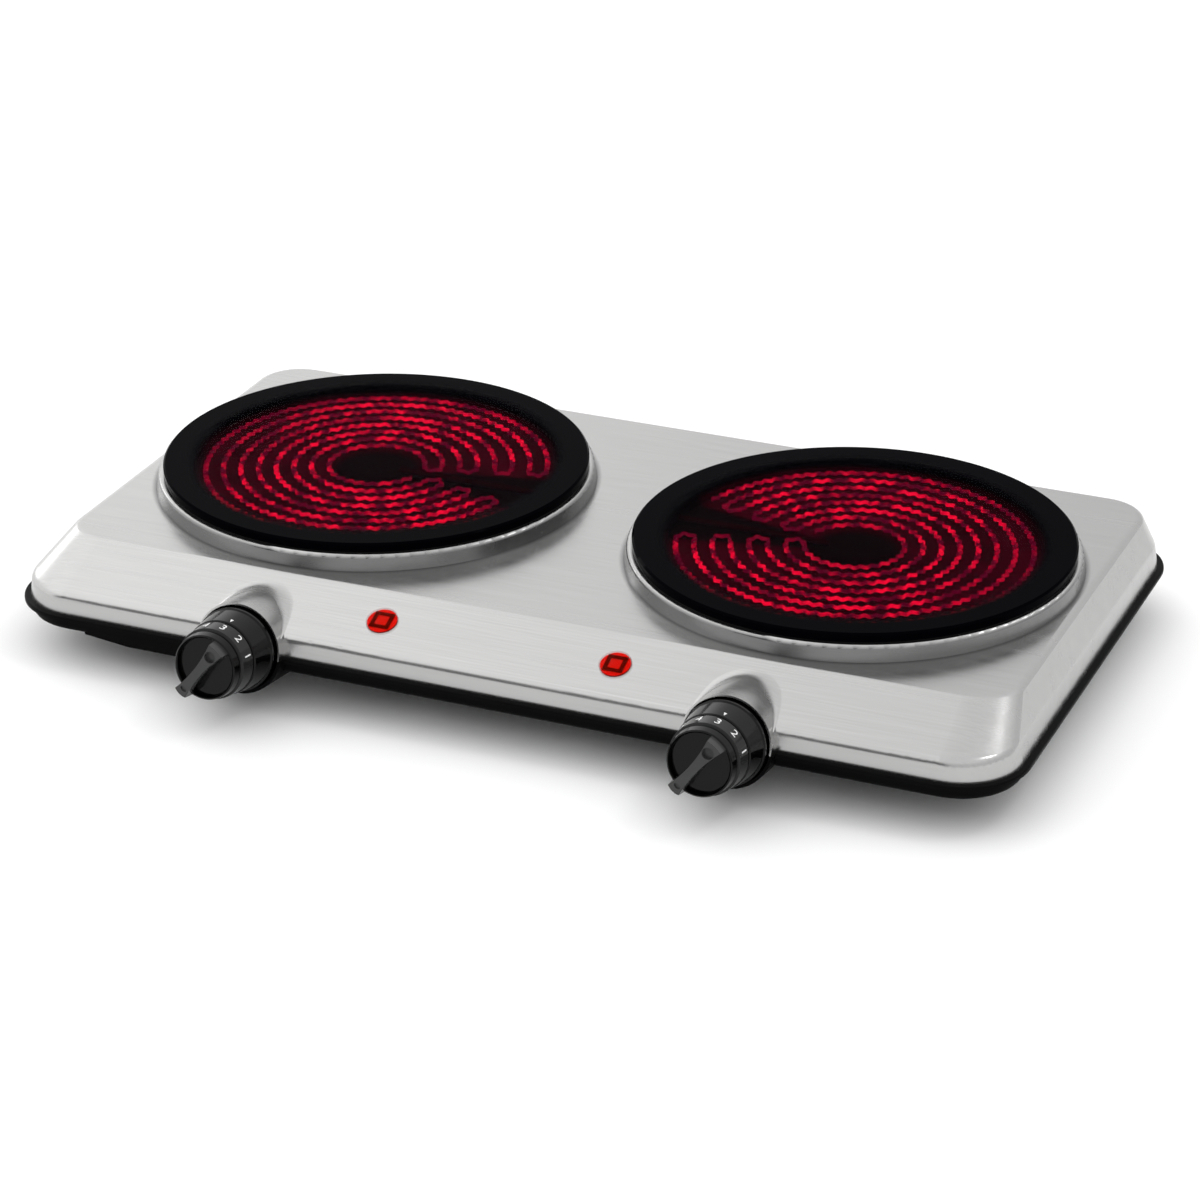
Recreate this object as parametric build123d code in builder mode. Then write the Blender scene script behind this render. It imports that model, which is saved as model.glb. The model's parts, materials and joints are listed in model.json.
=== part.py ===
from build123d import *
import os
from math import cos, sin, radians, degrees, atan2

# Double infrared hot plate. Millimetres, +Z up, +Y to the back, standing on z = 0.
# The origin is under the middle of the whole footprint, knobs included.

# ---------------------------------------------------------------- driving sizes
CASE_Y = 19.84           # middle of the casing, behind the origin because the knobs stand forward
FOOT_HEIGHT = 16.0
TRAY_DEPTH = 8.0
RIM_Z = FOOT_HEIGHT + TRAY_DEPTH      # lower edge of the steel casing
STEEL = 0.8              # sheet thickness of the casing

RIM_X, RIM_Y, RIM_R = 232.6, 127.9, 28.0        # half width, half depth and corner at the rim
CREASE_RISE = 9.5                               # height of the skirt
CREASE_X, CREASE_FRONT, CREASE_BACK, CREASE_R = 230.8, 127.5, 127.0, 26.0
DECK_RISE = 22.8                                # height of the deck over the rim
DECK_X, DECK_FRONT, DECK_BACK, DECK_R = 223.4, 93.2, 123.2, 20.0
DECK_BEND, CREASE_BEND = 3.6, 4.0                # outer bend radii
DECK_Z = RIM_Z + DECK_RISE
CREASE_Z = RIM_Z + CREASE_RISE

BURNER_X, BURNER_Y = 117.4, CASE_Y + 14.8
GLASS_R, GLASS_T = 98.7, 4.2
GLASS_Z = RIM_Z + 30.4                          # underside of the glass
GASKET_T = 0.6
LIP_Z = GLASS_Z - GASKET_T                      # top of the raised ring

DISH_R, DISH_Z, DISH_RIM_Z, DISH_T = 88.0, 26.0, 52.6, 0.8
BASE_DISC_TOP = GLASS_Z - 3.4
RIBBON_RADII = (79.3, 71.4, 63.5, 55.3, 47.2, 38.9, 30.6, 22.3)
RIBBON_HEIGHT, RIBBON_T = 2.4, 1.2
GAP_MIDDLE, GAP_HALF = 0.0, 16.0                 # degrees, the sector without ribbon
ROD_R, ROD_Z = 1.3, GLASS_Z - 1.9

KNOB_X = 114.0
KNOB_TILT = 8.0                                 # degrees that the knob axis points upwards
KNOB_Y, KNOB_Z = CASE_Y - 135.5, RIM_Z + 3.4    # axis point in the bezel's outer rim
BOSS_R = 20.2
POCKET_R, POCKET_T, POCKET_FLOOR = 21.0, 1.4, 5.8
POCKET_LENGTH = 41.0
BOSS_FRONT = -2.8                               # along the knob axis, from the bezel's rim
SHAFT_R = 3.0
GRIP_ANGLE = 53.0                               # degrees from +X, seen from the front
NECK_R = 17.9

LAMP_X, LAMP_BACK = 54.8, 17.7                  # lamps, and how far behind the front crease
LAMP_HOLE_R = 5.8

TRAY_T = 1.6
TRAY_X, TRAY_Y, TRAY_R = 232.0, 127.4, 27.5
FLANGE_X, FLANGE_Y, FLANGE_R, FLANGE_T = 235.6, 130.9, 31.0, 1.8

FOOT_X, FOOT_Y, FOOT_TOP_R, FOOT_BOTTOM_R = 182.0, 80.0, 11.5, 10.0
PILLAR_FRONT_X, PILLAR_BACK_X, PILLAR_Y, PILLAR_R = 36.0, 172.0, 118.0, 4.6
CHANNEL_LEFT, CHANNEL_RAMP, CHANNEL_DROP, CHANNEL_LENGTH = -194.0, 22.0, 2.4, 12.0
PILLAR_TOP = RIM_Z + 1.0
INLET_Z, INLET_BORE_R, INLET_LENGTH = RIM_Z + 8.8, 3.6, 15.0
SCREW_R = 1.75

SIDES = (("left", -1), ("right", 1))
CORNERS = (("front_left", -1, -1), ("front_right", 1, -1), ("back_left", -1, 1), ("back_right", 1, 1))

os.makedirs("parts", exist_ok=True)


def save(piece, name):
    """Label a finished piece and write it to its own file."""
    piece.part.label = name
    export_step(piece.part, f"parts/{name}.step")


# ---------------------------------------------------------------- places
def knob_face(hand, along=0.0):
    """Plane square to the knob axis, with local +Z outwards; along counts from the bezel's rim."""
    tilt = radians(KNOB_TILT)
    origin = (hand * KNOB_X, KNOB_Y - along * cos(tilt), KNOB_Z + along * sin(tilt))
    return Plane(origin=origin, x_dir=(1, 0, 0), z_dir=(0, -cos(tilt), sin(tilt)))


def knob_axis(hand):
    face = knob_face(hand)
    return Axis(face.origin, face.z_dir)


def knob_section(hand):
    """Plane through the knob axis: local x is the radius, local y runs outwards along the axis."""
    tilt = radians(KNOB_TILT)
    return Plane(origin=knob_face(hand).origin, x_dir=(1, 0, 0), z_dir=(0, -sin(tilt), -cos(tilt)))


def burner_section(hand):
    """Upright plane through the middle of a burner: local x is the radius, local y the height."""
    return Plane(origin=(hand * BURNER_X, BURNER_Y, 0), x_dir=(1, 0, 0), z_dir=(0, -1, 0))


def burner_axis(hand):
    return Axis((hand * BURNER_X, BURNER_Y, 0), (0, 0, 1))


def burner_level(hand, height):
    return Plane(origin=(hand * BURNER_X, BURNER_Y, height), x_dir=(1, 0, 0), z_dir=(0, 0, 1))


def gap_level(hand, height):
    """As burner_level, with local +X along the middle of the ribbon's gap."""
    turn = radians(GAP_MIDDLE + (180 if hand > 0 else 0))
    return Plane(origin=(hand * BURNER_X, BURNER_Y, height), x_dir=(cos(turn), sin(turn), 0),
                 z_dir=(0, 0, 1))


SLOPE_ANGLE = degrees(atan2(DECK_RISE - CREASE_RISE, CREASE_FRONT - DECK_FRONT))


def lamp_face(hand, along=0.0):
    """Plane in the front slope at a lamp, with local +Z outwards, moved along that normal."""
    slope = radians(SLOPE_ANGLE)
    rise = LAMP_BACK * (DECK_RISE - CREASE_RISE) / (CREASE_FRONT - DECK_FRONT)
    origin = (hand * LAMP_X, CASE_Y - CREASE_FRONT + LAMP_BACK - along * sin(slope),
              CREASE_Z + rise + along * cos(slope))
    return Plane(origin=origin, x_dir=(1, 0, 0), z_dir=(0, -sin(slope), cos(slope)))


def pillar_spot(hand, end):
    """Middle of a base screw, from the middle of the casing."""
    return (hand * (PILLAR_FRONT_X if end < 0 else PILLAR_BACK_X), end * PILLAR_Y)


def bracket_spots(hand):
    """Middles of the two screws of a regulator bracket, from the middle of the casing."""
    return [(hand * KNOB_X + end * BRACKET_HOLE_X, BRACKET_HOLE_Y) for end in (-1, 1)]


def case_level(height, middle=0.0):
    """Level plane with its origin on the casing's middle line."""
    return Plane(origin=(0, CASE_Y + middle, height), x_dir=(1, 0, 0), z_dir=(0, 0, 1))


# ---------------------------------------------------------------- casing
def casing_form(inset, start_z):
    """Closed form of the casing: skirt, sloping sides and flat deck, moved in by the inset."""
    levels = (
        (start_z, RIM_X - inset, RIM_Y - inset, RIM_Y - inset, RIM_R - inset),
        (CREASE_Z - 0.5 * inset, CREASE_X - inset, CREASE_FRONT - inset, CREASE_BACK - inset,
         CREASE_R - inset),
        (DECK_Z - inset, DECK_X - 0.35 * inset, DECK_FRONT - 0.35 * inset,
         DECK_BACK - 0.35 * inset, DECK_R - 0.35 * inset),
    )
    with BuildPart() as form:
        for height, half_x, front, back, corner in levels:
            with BuildSketch(case_level(height, (back - front) / 2)):
                RectangleRounded(2 * half_x, front + back, corner)
        loft(ruled=True)
        deck_edges = form.edges().filter_by_position(Axis.Z, levels[2][0] - 0.01, levels[2][0] + 0.01)
        fillet(deck_edges, radius=DECK_BEND - inset)
        crease_edges = form.edges().filter_by_position(Axis.Z, levels[1][0] - 0.01, levels[1][0] + 0.01)
        fillet(crease_edges, radius=CREASE_BEND - inset)
    return form.part


BOSS_LENGTH = 36.0
LIP_OUTER, LIP_INNER, LIP_FOOT = 101.0, 94.0, 102.4


def make_top_shell():
    with BuildPart() as top_shell:
        add(casing_form(0, RIM_Z))
        for side, hand in SIDES:
            with BuildSketch(knob_face(hand, BOSS_FRONT)):
                Circle(BOSS_R)
            extrude(amount=-BOSS_LENGTH)
        split(bisect_by=Plane.XY.offset(RIM_Z), keep=Keep.TOP)
        add(casing_form(STEEL, RIM_Z - 1), mode=Mode.SUBTRACT)
        for side, hand in SIDES:
            with BuildSketch(knob_face(hand, BOSS_FRONT + 1)):
                Circle(BOSS_R - STEEL)
            extrude(amount=-BOSS_LENGTH - 1, mode=Mode.SUBTRACT)
            # Raised ring of a burner: the deck turns up, over a rounded lip and inwards.
            with BuildSketch(burner_level(hand, DECK_Z - 5)):
                Circle(LIP_FOOT + 1.0)
            extrude(amount=10, mode=Mode.SUBTRACT)
            with BuildSketch(burner_section(hand)) as ring_section:
                with BuildLine():
                    Polyline(
                        (LIP_FOOT + 1.2, DECK_Z), (LIP_FOOT, DECK_Z), (LIP_OUTER, LIP_Z),
                        (LIP_INNER, LIP_Z), (LIP_INNER, LIP_Z - STEEL),
                        (LIP_OUTER - STEEL, LIP_Z - STEEL), (LIP_FOOT - STEEL, DECK_Z - STEEL),
                        (LIP_FOOT + 1.2, DECK_Z - STEEL), close=True)
                make_face()
                corners = ring_section.vertices()
                lip = corners.sort_by(lambda v: (v.Y - LIP_Z) ** 2 + (v.X - LIP_OUTER) ** 2)[0]
                fillet(lip, radius=1.8)
            revolve(axis=burner_axis(hand))
            with BuildSketch(lamp_face(hand, -6)):
                Circle(LAMP_HOLE_R)
            extrude(amount=12, mode=Mode.SUBTRACT)
        inlet_face = Plane(origin=(0, CASE_Y + RIM_Y + 4, INLET_Z), x_dir=(-1, 0, 0), z_dir=(0, 1, 0))
        with BuildSketch(inlet_face):
            Circle(INLET_BORE_R + 2.6)
        extrude(amount=-12, mode=Mode.SUBTRACT)
    save(top_shell, "top_shell")


def make_casing_brackets():
    """Angle pieces welded inside the skirt; the base screws pull the tray up against them."""
    for corner, hand, end in CORNERS:
        skirt = (CREASE_FRONT if end < 0 else CREASE_BACK) - STEEL - 0.35
        spot_x, spot_y = pillar_spot(hand, end)
        level = Plane(origin=(spot_x, CASE_Y, PILLAR_TOP), x_dir=(1, 0, 0), z_dir=(0, 0, 1))
        with BuildPart() as bracket:
            with BuildSketch(level):
                with Locations((0, end * (skirt - 8.5))):
                    Rectangle(18, 17)
            extrude(amount=1.2)
            with BuildSketch(level):
                with Locations((0, end * (skirt - 0.6))):
                    Rectangle(18, 1.2)
            extrude(amount=5.0)
            with BuildSketch(level):
                with Locations((0, spot_y)):
                    Circle(3.6)
            extrude(amount=4.0)
            with BuildSketch(level):
                with Locations((0, spot_y)):
                    Circle(SCREW_R + 0.05)
            extrude(amount=4.0, mode=Mode.SUBTRACT)
        save(bracket, f"casing_bracket_{corner}")


# ---------------------------------------------------------------- base tray and feet
def make_base_tray():
    def channel(inset):
        """Shallow step under the tray's front edge, left of the left knob."""
        front = Plane(origin=(0, CASE_Y - TRAY_Y + inset, 0), x_dir=(1, 0, 0), z_dir=(0, -1, 0))
        ramp_start, ramp_end = CHANNEL_LEFT + inset, CHANNEL_LEFT + CHANNEL_RAMP + inset
        low, high = FOOT_HEIGHT - CHANNEL_DROP + inset, FOOT_HEIGHT + inset
        with BuildPart() as form:
            with BuildSketch(front):
                with BuildLine():
                    Polyline((ramp_start, high + 3), (ramp_start, high), (ramp_end, low),
                             (-KNOB_X, low), (-KNOB_X, high + 3), close=True)
                make_face()
            extrude(amount=-(CHANNEL_LENGTH - 2 * inset))
        return form.part

    with BuildPart() as base_tray:
        with BuildSketch(case_level(FOOT_HEIGHT)):
            RectangleRounded(2 * TRAY_X, 2 * TRAY_Y, TRAY_R)
        extrude(amount=TRAY_DEPTH)
        fillet(base_tray.edges().group_by(Axis.Z)[0], radius=2.5)
        with BuildSketch(case_level(RIM_Z - FLANGE_T)):
            RectangleRounded(2 * FLANGE_X, 2 * FLANGE_Y, FLANGE_R)
        extrude(amount=FLANGE_T)
        fillet(base_tray.edges().filter_by_position(Axis.Z, RIM_Z - 0.01, RIM_Z + 0.01), radius=0.8)
        add(channel(0))
        for side, hand in SIDES:
            with BuildSketch(knob_face(hand, BOSS_FRONT)):
                Circle(POCKET_R)
            extrude(amount=-POCKET_LENGTH)
        split(bisect_by=Plane.XY.offset(RIM_Z), keep=Keep.BOTTOM)
        split(bisect_by=Plane.XY.offset(POCKET_FLOOR), keep=Keep.TOP)
        with BuildSketch(case_level(FOOT_HEIGHT + TRAY_T)):
            RectangleRounded(2 * (TRAY_X - TRAY_T), 2 * (TRAY_Y - TRAY_T), TRAY_R - TRAY_T)
        extrude(amount=TRAY_DEPTH, mode=Mode.SUBTRACT)
        add(channel(TRAY_T), mode=Mode.SUBTRACT)
        with BuildPart(mode=Mode.PRIVATE) as hollows:
            for side, hand in SIDES:
                with BuildSketch(knob_face(hand, BOSS_FRONT + 1)):
                    Circle(POCKET_R - POCKET_T)
                extrude(amount=-(POCKET_LENGTH + 1 - POCKET_T))
            split(bisect_by=Plane.XY.offset(POCKET_FLOOR + POCKET_T), keep=Keep.TOP)
        add(hollows.part, mode=Mode.SUBTRACT)
        # Pillars for the base screws, with the screws' clearance holes.
        pillar_spots = [pillar_spot(hand, end) for corner, hand, end in CORNERS]
        with BuildSketch(case_level(FOOT_HEIGHT)):
            with Locations(*pillar_spots):
                Circle(PILLAR_R)
        extrude(amount=PILLAR_TOP - FOOT_HEIGHT)
        foot_spots = [(hand * FOOT_X, end * FOOT_Y) for corner, hand, end in CORNERS]
        with BuildSketch(case_level(FOOT_HEIGHT - 1)):
            with Locations(*pillar_spots, *foot_spots):
                Circle(SCREW_R + 0.1)
        extrude(amount=TRAY_DEPTH + 4, mode=Mode.SUBTRACT)
        for side, hand in SIDES:
            with BuildSketch(burner_level(hand, FOOT_HEIGHT - 1)):
                with Locations((-SPRING_HOLE_X, 0), (SPRING_HOLE_X, 0)):
                    Circle(SCREW_R + 0.1)
                # Air slots in front of and behind the heater spring.
                for row in (-58, -48, -38, 38, 48, 58):
                    with Locations((0, row)):
                        SlotOverall(84, 4)
            extrude(amount=TRAY_T + 2, mode=Mode.SUBTRACT)
            with BuildSketch(case_level(FOOT_HEIGHT - 1)):
                with Locations(*bracket_spots(hand)):
                    Circle(SCREW_R + 0.1)
            extrude(amount=TRAY_T + 2, mode=Mode.SUBTRACT)
    save(base_tray, "base_tray")


def screw_group(name, spots, head_z, head_r, head_t, tip_z):
    """Pan head screws standing upright, head down, as separate solids in one node."""
    with BuildPart() as screws:
        for x, y in spots:
            head_plane = Plane(origin=(x, y, head_z), x_dir=(1, 0, 0), z_dir=(0, 0, 1))
            with BuildSketch(head_plane):
                Circle(head_r)
            extrude(amount=head_t)
            with BuildSketch(head_plane):
                Circle(SCREW_R)
            extrude(amount=tip_z - head_z)
            with BuildSketch(head_plane):
                Rectangle(head_r * 1.3, 0.8)
                Rectangle(0.8, head_r * 1.3)
            extrude(amount=0.8, mode=Mode.SUBTRACT)
    save(screws, name)


def make_feet():
    for corner, hand, end in CORNERS:
        spot = Plane(origin=(hand * FOOT_X, CASE_Y + end * FOOT_Y, 0), x_dir=(1, 0, 0), z_dir=(0, 0, 1))
        with BuildPart() as foot:
            with BuildSketch(spot):
                Circle(FOOT_BOTTOM_R)
            with BuildSketch(spot.offset(FOOT_HEIGHT)):
                Circle(FOOT_TOP_R)
            loft()
            fillet(foot.edges().group_by(Axis.Z)[0], radius=1.2)
            with BuildSketch(spot):
                Circle(4.6)
            extrude(amount=9.0, mode=Mode.SUBTRACT)
            with BuildSketch(spot):
                Circle(SCREW_R + 0.1)
            extrude(amount=FOOT_HEIGHT, mode=Mode.SUBTRACT)
        save(foot, f"foot_{corner}")


def make_screws():
    pillar_spots = [pillar_spot(h, e) for c, h, e in CORNERS]
    screw_group("base_screws", [(x, CASE_Y + y) for x, y in pillar_spots],
                FOOT_HEIGHT - 2.2, 3.6, 2.2, PILLAR_TOP + 6)
    screw_group("foot_screws", [(h * FOOT_X, CASE_Y + e * FOOT_Y) for c, h, e in CORNERS],
                6.6, 3.8, 2.4, FOOT_HEIGHT + TRAY_T + 4)
    screw_group("spring_screws",
                [(h * BURNER_X + e * SPRING_HOLE_X, BURNER_Y) for s, h in SIDES for e in (-1, 1)],
                FOOT_HEIGHT - 2.0, 3.5, 2.0, FOOT_HEIGHT + TRAY_T + 3.4)
    screw_group("regulator_screws",
                [(x, CASE_Y + y) for s, h in SIDES for x, y in bracket_spots(h)],
                FOOT_HEIGHT - 2.0, 3.5, 2.0, FOOT_HEIGHT + TRAY_T + 4.0)


# ---------------------------------------------------------------- burners
def make_glass(side, hand):
    with BuildPart() as glass:
        with BuildSketch(burner_level(hand, GLASS_Z)):
            Circle(GLASS_R)
        extrude(amount=GLASS_T)
        chamfer(glass.edges().group_by(Axis.Z)[-1], length=0.9)
        chamfer(glass.edges().group_by(Axis.Z)[0], length=0.4)
    save(glass, f"glass_{side}")


def make_gasket(side, hand):
    with BuildPart() as gasket:
        with BuildSketch(burner_level(hand, LIP_Z)):
            Circle(98.0)
            Circle(LIP_INNER + 0.6, mode=Mode.SUBTRACT)
        extrude(amount=GASKET_T)
    save(gasket, f"glass_gasket_{side}")


def rod_hole(hand):
    """Opening for the limiter rod, out along the middle of the gap."""
    level = gap_level(hand, ROD_Z)
    return Plane(origin=level.origin, x_dir=(0, 0, 1), z_dir=level.x_dir)


def make_heater_dish(side, hand):
    with BuildPart() as dish:
        with BuildSketch(burner_level(hand, DISH_Z)):
            Circle(DISH_R)
        extrude(amount=DISH_RIM_Z - DISH_Z)
        fillet(dish.edges().group_by(Axis.Z)[0], radius=2.0)
        with BuildSketch(burner_level(hand, DISH_Z + DISH_T)):
            Circle(DISH_R - DISH_T)
        extrude(amount=DISH_RIM_Z - DISH_Z, mode=Mode.SUBTRACT)
        with BuildSketch(rod_hole(hand)):
            Circle(ROD_R + 0.4)
        extrude(amount=DISH_R + 5, mode=Mode.SUBTRACT)
    save(dish, f"heater_dish_{side}")


def make_insulation(side, hand):
    with BuildPart() as disc:
        with BuildSketch(burner_level(hand, DISH_Z + DISH_T)):
            Circle(DISH_R - DISH_T)
        extrude(amount=BASE_DISC_TOP - DISH_Z - DISH_T)
        fillet(disc.edges().group_by(Axis.Z)[0], radius=1.2)
    save(disc, f"insulation_base_{side}")
    with BuildPart() as ring:
        with BuildSketch(burner_level(hand, BASE_DISC_TOP)):
            Circle(DISH_R - DISH_T)
            Circle(DISH_R - 4.6, mode=Mode.SUBTRACT)
        extrude(amount=GLASS_Z - BASE_DISC_TOP)
        with BuildSketch(rod_hole(hand)):
            Circle(ROD_R + 0.4)
        extrude(amount=DISH_R + 5, mode=Mode.SUBTRACT)
    save(ring, f"insulation_ring_{side}")


def make_heating_ribbon(side, hand):
    """One upright band, laid back and forth in eight arcs that turn round beside the gap."""
    back, front = GAP_HALF, 360 - GAP_HALF
    sweep_size = front - back
    with BuildPart() as ribbon:
        with BuildSketch(gap_level(hand, BASE_DISC_TOP)):
            with BuildLine():
                for number, radius in enumerate(RIBBON_RADII):
                    CenterArc((0, 0), radius, back, sweep_size)
                    if number + 1 < len(RIBBON_RADII):
                        inner = RIBBON_RADII[number + 1]
                        middle, bend = (radius + inner) / 2, (radius - inner) / 2
                        at_back = number % 2 == 0
                        angle = back if at_back else front
                        centre = (middle * cos(radians(angle)), middle * sin(radians(angle)))
                        CenterArc(centre, bend, angle, -180 if at_back else 180)
            trace(line_width=RIBBON_T)
        extrude(amount=RIBBON_HEIGHT)
    save(ribbon, f"heating_ribbon_{side}")


def make_limiter(side, hand):
    """Quartz rod over the ribbon, and the ceramic switch block that it works."""
    block_start = DISH_R + 1.0
    with BuildPart() as rod:
        with BuildSketch(rod_hole(hand).offset(12)):
            Circle(ROD_R)
        extrude(amount=block_start + 1.0 - 12)
    save(rod, f"limiter_rod_{side}")
    level = gap_level(hand, 33.0)
    with BuildPart() as block:
        with BuildSketch(level):
            with Locations((block_start + 9.5, 0)):
                Rectangle(17, 18)
        extrude(amount=11.0)
        with BuildSketch(level):
            with Locations((block_start + 2.4, 0)):
                Rectangle(3.6, 14)
        extrude(amount=GLASS_Z - 0.4 - 33.0)
        with BuildSketch(rod_hole(hand)):
            Circle(ROD_R)
        extrude(amount=block_start + 1.0, mode=Mode.SUBTRACT)
        for offset in (-5, 5):
            with BuildSketch(level.offset(11)):
                with Locations((block_start + 12, offset)):
                    Rectangle(6.3, 0.8)
            extrude(amount=0.6)
    save(block, f"limiter_switch_{side}")


SPRING_HOLE_X = 66.0


def make_heater_spring(side, hand):
    """Leaf spring: flat ends screwed to the tray, and a raised middle under the dish."""
    floor = FOOT_HEIGHT + TRAY_T
    half = ((75, floor), (58, floor), (40, DISH_Z - 1.0), (-40, DISH_Z - 1.0), (-58, floor), (-75, floor))
    upper = [(x, z + 1.0) for x, z in reversed(half)]
    with BuildPart() as spring:
        with BuildSketch(burner_section(hand).offset(-12)):
            with BuildLine():
                Polyline(*half, *upper, close=True)
            make_face()
        extrude(amount=24)
        with BuildSketch(burner_level(hand, floor - 1)):
            with Locations((-SPRING_HOLE_X, 0), (SPRING_HOLE_X, 0)):
                Circle(SCREW_R + 0.1)
        extrude(amount=4, mode=Mode.SUBTRACT)
    save(spring, f"heater_spring_{side}")


# ---------------------------------------------------------------- knobs and regulators
BEZEL_FACE = 13.2
KNOB_BACK = 13.6
DISH_FLOOR = 25.2
GRIP_TOP = 33.6
HUB_R = 7.4


def make_bezel(side, hand):
    """Fixed collar in the boss, open at the back, with a hole for the shaft in its face."""
    with BuildPart() as bezel:
        with BuildSketch(knob_section(hand)):
            with BuildLine():
                Polyline((NECK_R, -12), (NECK_R, -1.0), (18.8, -0.6), (18.8, 0.6), (18.2, 1.4),
                         (16.9, BEZEL_FACE - 0.6), (16.4, BEZEL_FACE), (4.2, BEZEL_FACE), (4.2, 11.0),
                         (15.0, 11.0), (16.4, -12), close=True)
            make_face()
        revolve(axis=knob_axis(hand))
    save(bezel, f"bezel_{side}")


def make_knob(side, hand):
    """Dial ring, grooved front rim and dished face with a waisted grip bar across it."""
    face_r = 14.2
    grip = radians(GRIP_ANGLE)
    with BuildPart() as knob:
        with BuildSketch(knob_section(hand)):
            with BuildLine():
                Polyline((16.0, KNOB_BACK), (16.4, KNOB_BACK + 0.4), (15.9, 21.8), (14.7, 22.4),
                         (14.7, 23.4), (15.0, 23.8), (14.5, 27.4), (13.9, 27.9), (13.3, 27.4),
                         (12.9, DISH_FLOOR), (0, DISH_FLOOR), (0, 15.0), (HUB_R, 15.0), (HUB_R, 23.6),
                         (13.2, 22.0), (14.4, KNOB_BACK), close=True)
            make_face()
        revolve(axis=knob_axis(hand))
        base = knob_face(hand, DISH_FLOOR - 0.5)
        turned_base = Plane(origin=base.origin, x_dir=base.x_dir * cos(grip) + base.y_dir * sin(grip),
                            z_dir=base.z_dir)
        with BuildSketch(turned_base):
            with BuildLine():
                ThreePointArc((-face_r, -3.6), (0, -2.4), (face_r - 0.6, -4.3))
                ThreePointArc((face_r - 0.6, -4.3), (face_r, 0), (face_r - 0.6, 4.3))
                ThreePointArc((face_r - 0.6, 4.3), (0, 2.4), (-face_r, 3.6))
                ThreePointArc((-face_r, 3.6), (-face_r - 0.9, 0), (-face_r, -3.6))
            make_face()
        extrude(amount=GRIP_TOP - DISH_FLOOR + 0.5, taper=3)
        with BuildSketch(turned_base.offset(GRIP_TOP - DISH_FLOOR + 0.5)):
            with Locations((9.2, 0)):
                Circle(2.6)
        extrude(amount=-2.0, mode=Mode.SUBTRACT)
        with BuildSketch(turned_base.offset(GRIP_TOP - DISH_FLOOR + 0.5)):
            with Locations((-11.4, 0)):
                Ellipse(1.0, 1.6)
        extrude(amount=-0.8, mode=Mode.SUBTRACT)
        with BuildSketch(knob_face(hand, 15.0)):
            Circle(SHAFT_R)
        extrude(amount=8.6, mode=Mode.SUBTRACT)
    save(knob, f"knob_{side}")


def make_knob_clip(side, hand):
    """Split spring ring round the knob's hub."""
    with BuildPart() as clip:
        with BuildSketch(knob_face(hand, 17.0)):
            Circle(HUB_R + 0.8)
            Circle(HUB_R, mode=Mode.SUBTRACT)
            with Locations((0, -HUB_R - 0.4)):
                Rectangle(2.4, 2.4, mode=Mode.SUBTRACT)
        extrude(amount=4.0)
    save(clip, f"knob_clip_{side}")


REGULATOR_FRONT, REGULATOR_LENGTH, REGULATOR_SIZE = -16.0, 23.0, 25.6
BRACKET_FRONT = -14.8
BRACKET_HOLE_X = 28.0
BRACKET_HOLE_Y = -(CREASE_FRONT - 17.0)


def make_regulator(side, hand):
    """Closed switch body with a bush for the shaft and push-on tabs at its back."""
    with BuildPart() as body:
        with BuildSketch(knob_face(hand, REGULATOR_FRONT)):
            RectangleRounded(REGULATOR_SIZE, REGULATOR_SIZE, 2.0)
        extrude(amount=-REGULATOR_LENGTH)
        with BuildSketch(knob_face(hand, REGULATOR_FRONT)):
            Circle(4.6)
        extrude(amount=7.0)
        with BuildSketch(knob_face(hand, REGULATOR_FRONT - 8)):
            Circle(SHAFT_R + 0.06)
        extrude(amount=16.0, mode=Mode.SUBTRACT)
        back = knob_face(hand, REGULATOR_FRONT - REGULATOR_LENGTH)
        with BuildSketch(back):
            with Locations((-8, 5), (0, 5), (8, 5), (-4, -5)):
                Rectangle(0.8, 5.0)
        extrude(amount=-4.0)
    save(body, f"regulator_{side}")
    with BuildPart() as shaft:
        with BuildSketch(knob_face(hand, REGULATOR_FRONT - 7.6)):
            Circle(SHAFT_R)
        extrude(amount=23.4 - (REGULATOR_FRONT - 7.6))
    save(shaft, f"regulator_shaft_{side}")


def make_regulator_bracket(side, hand):
    """Plate that holds the regulator by its bush, with two feet on the tray floor."""
    floor = FOOT_HEIGHT + TRAY_T
    with BuildPart() as bracket:
        with BuildSketch(knob_face(hand, REGULATOR_FRONT)) as plate:
            Circle(17.4)
            with Locations((0, 0.6)):
                Rectangle(68, 12)
            Circle(4.7, mode=Mode.SUBTRACT)
        extrude(amount=BRACKET_FRONT - REGULATOR_FRONT)
        split(bisect_by=Plane.XY.offset(POCKET_FLOOR + POCKET_T + 0.6), keep=Keep.TOP)
        foot_level = Plane(origin=(hand * KNOB_X, CASE_Y + BRACKET_HOLE_Y, floor), x_dir=(1, 0, 0),
                           z_dir=(0, 0, 1))
        with BuildSketch(foot_level):
            with Locations((-BRACKET_HOLE_X, -1.95), (BRACKET_HOLE_X, -1.95)):
                Rectangle(12, 18.1)
        extrude(amount=1.2)
        with BuildSketch(foot_level):
            with Locations((-BRACKET_HOLE_X, -9.8), (BRACKET_HOLE_X, -9.8)):
                Rectangle(12, 2.4)
        extrude(amount=6.0)
        with BuildSketch(foot_level):
            with Locations((-BRACKET_HOLE_X, 0), (BRACKET_HOLE_X, 0)):
                Circle(SCREW_R + 0.1)
        extrude(amount=2.0, mode=Mode.SUBTRACT)
    save(bracket, f"regulator_bracket_{side}")


# ---------------------------------------------------------------- indicator lamps
LENS_R, LENS_EDGE, LENS_TOP = 7.2, 1.0, 2.4


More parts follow.
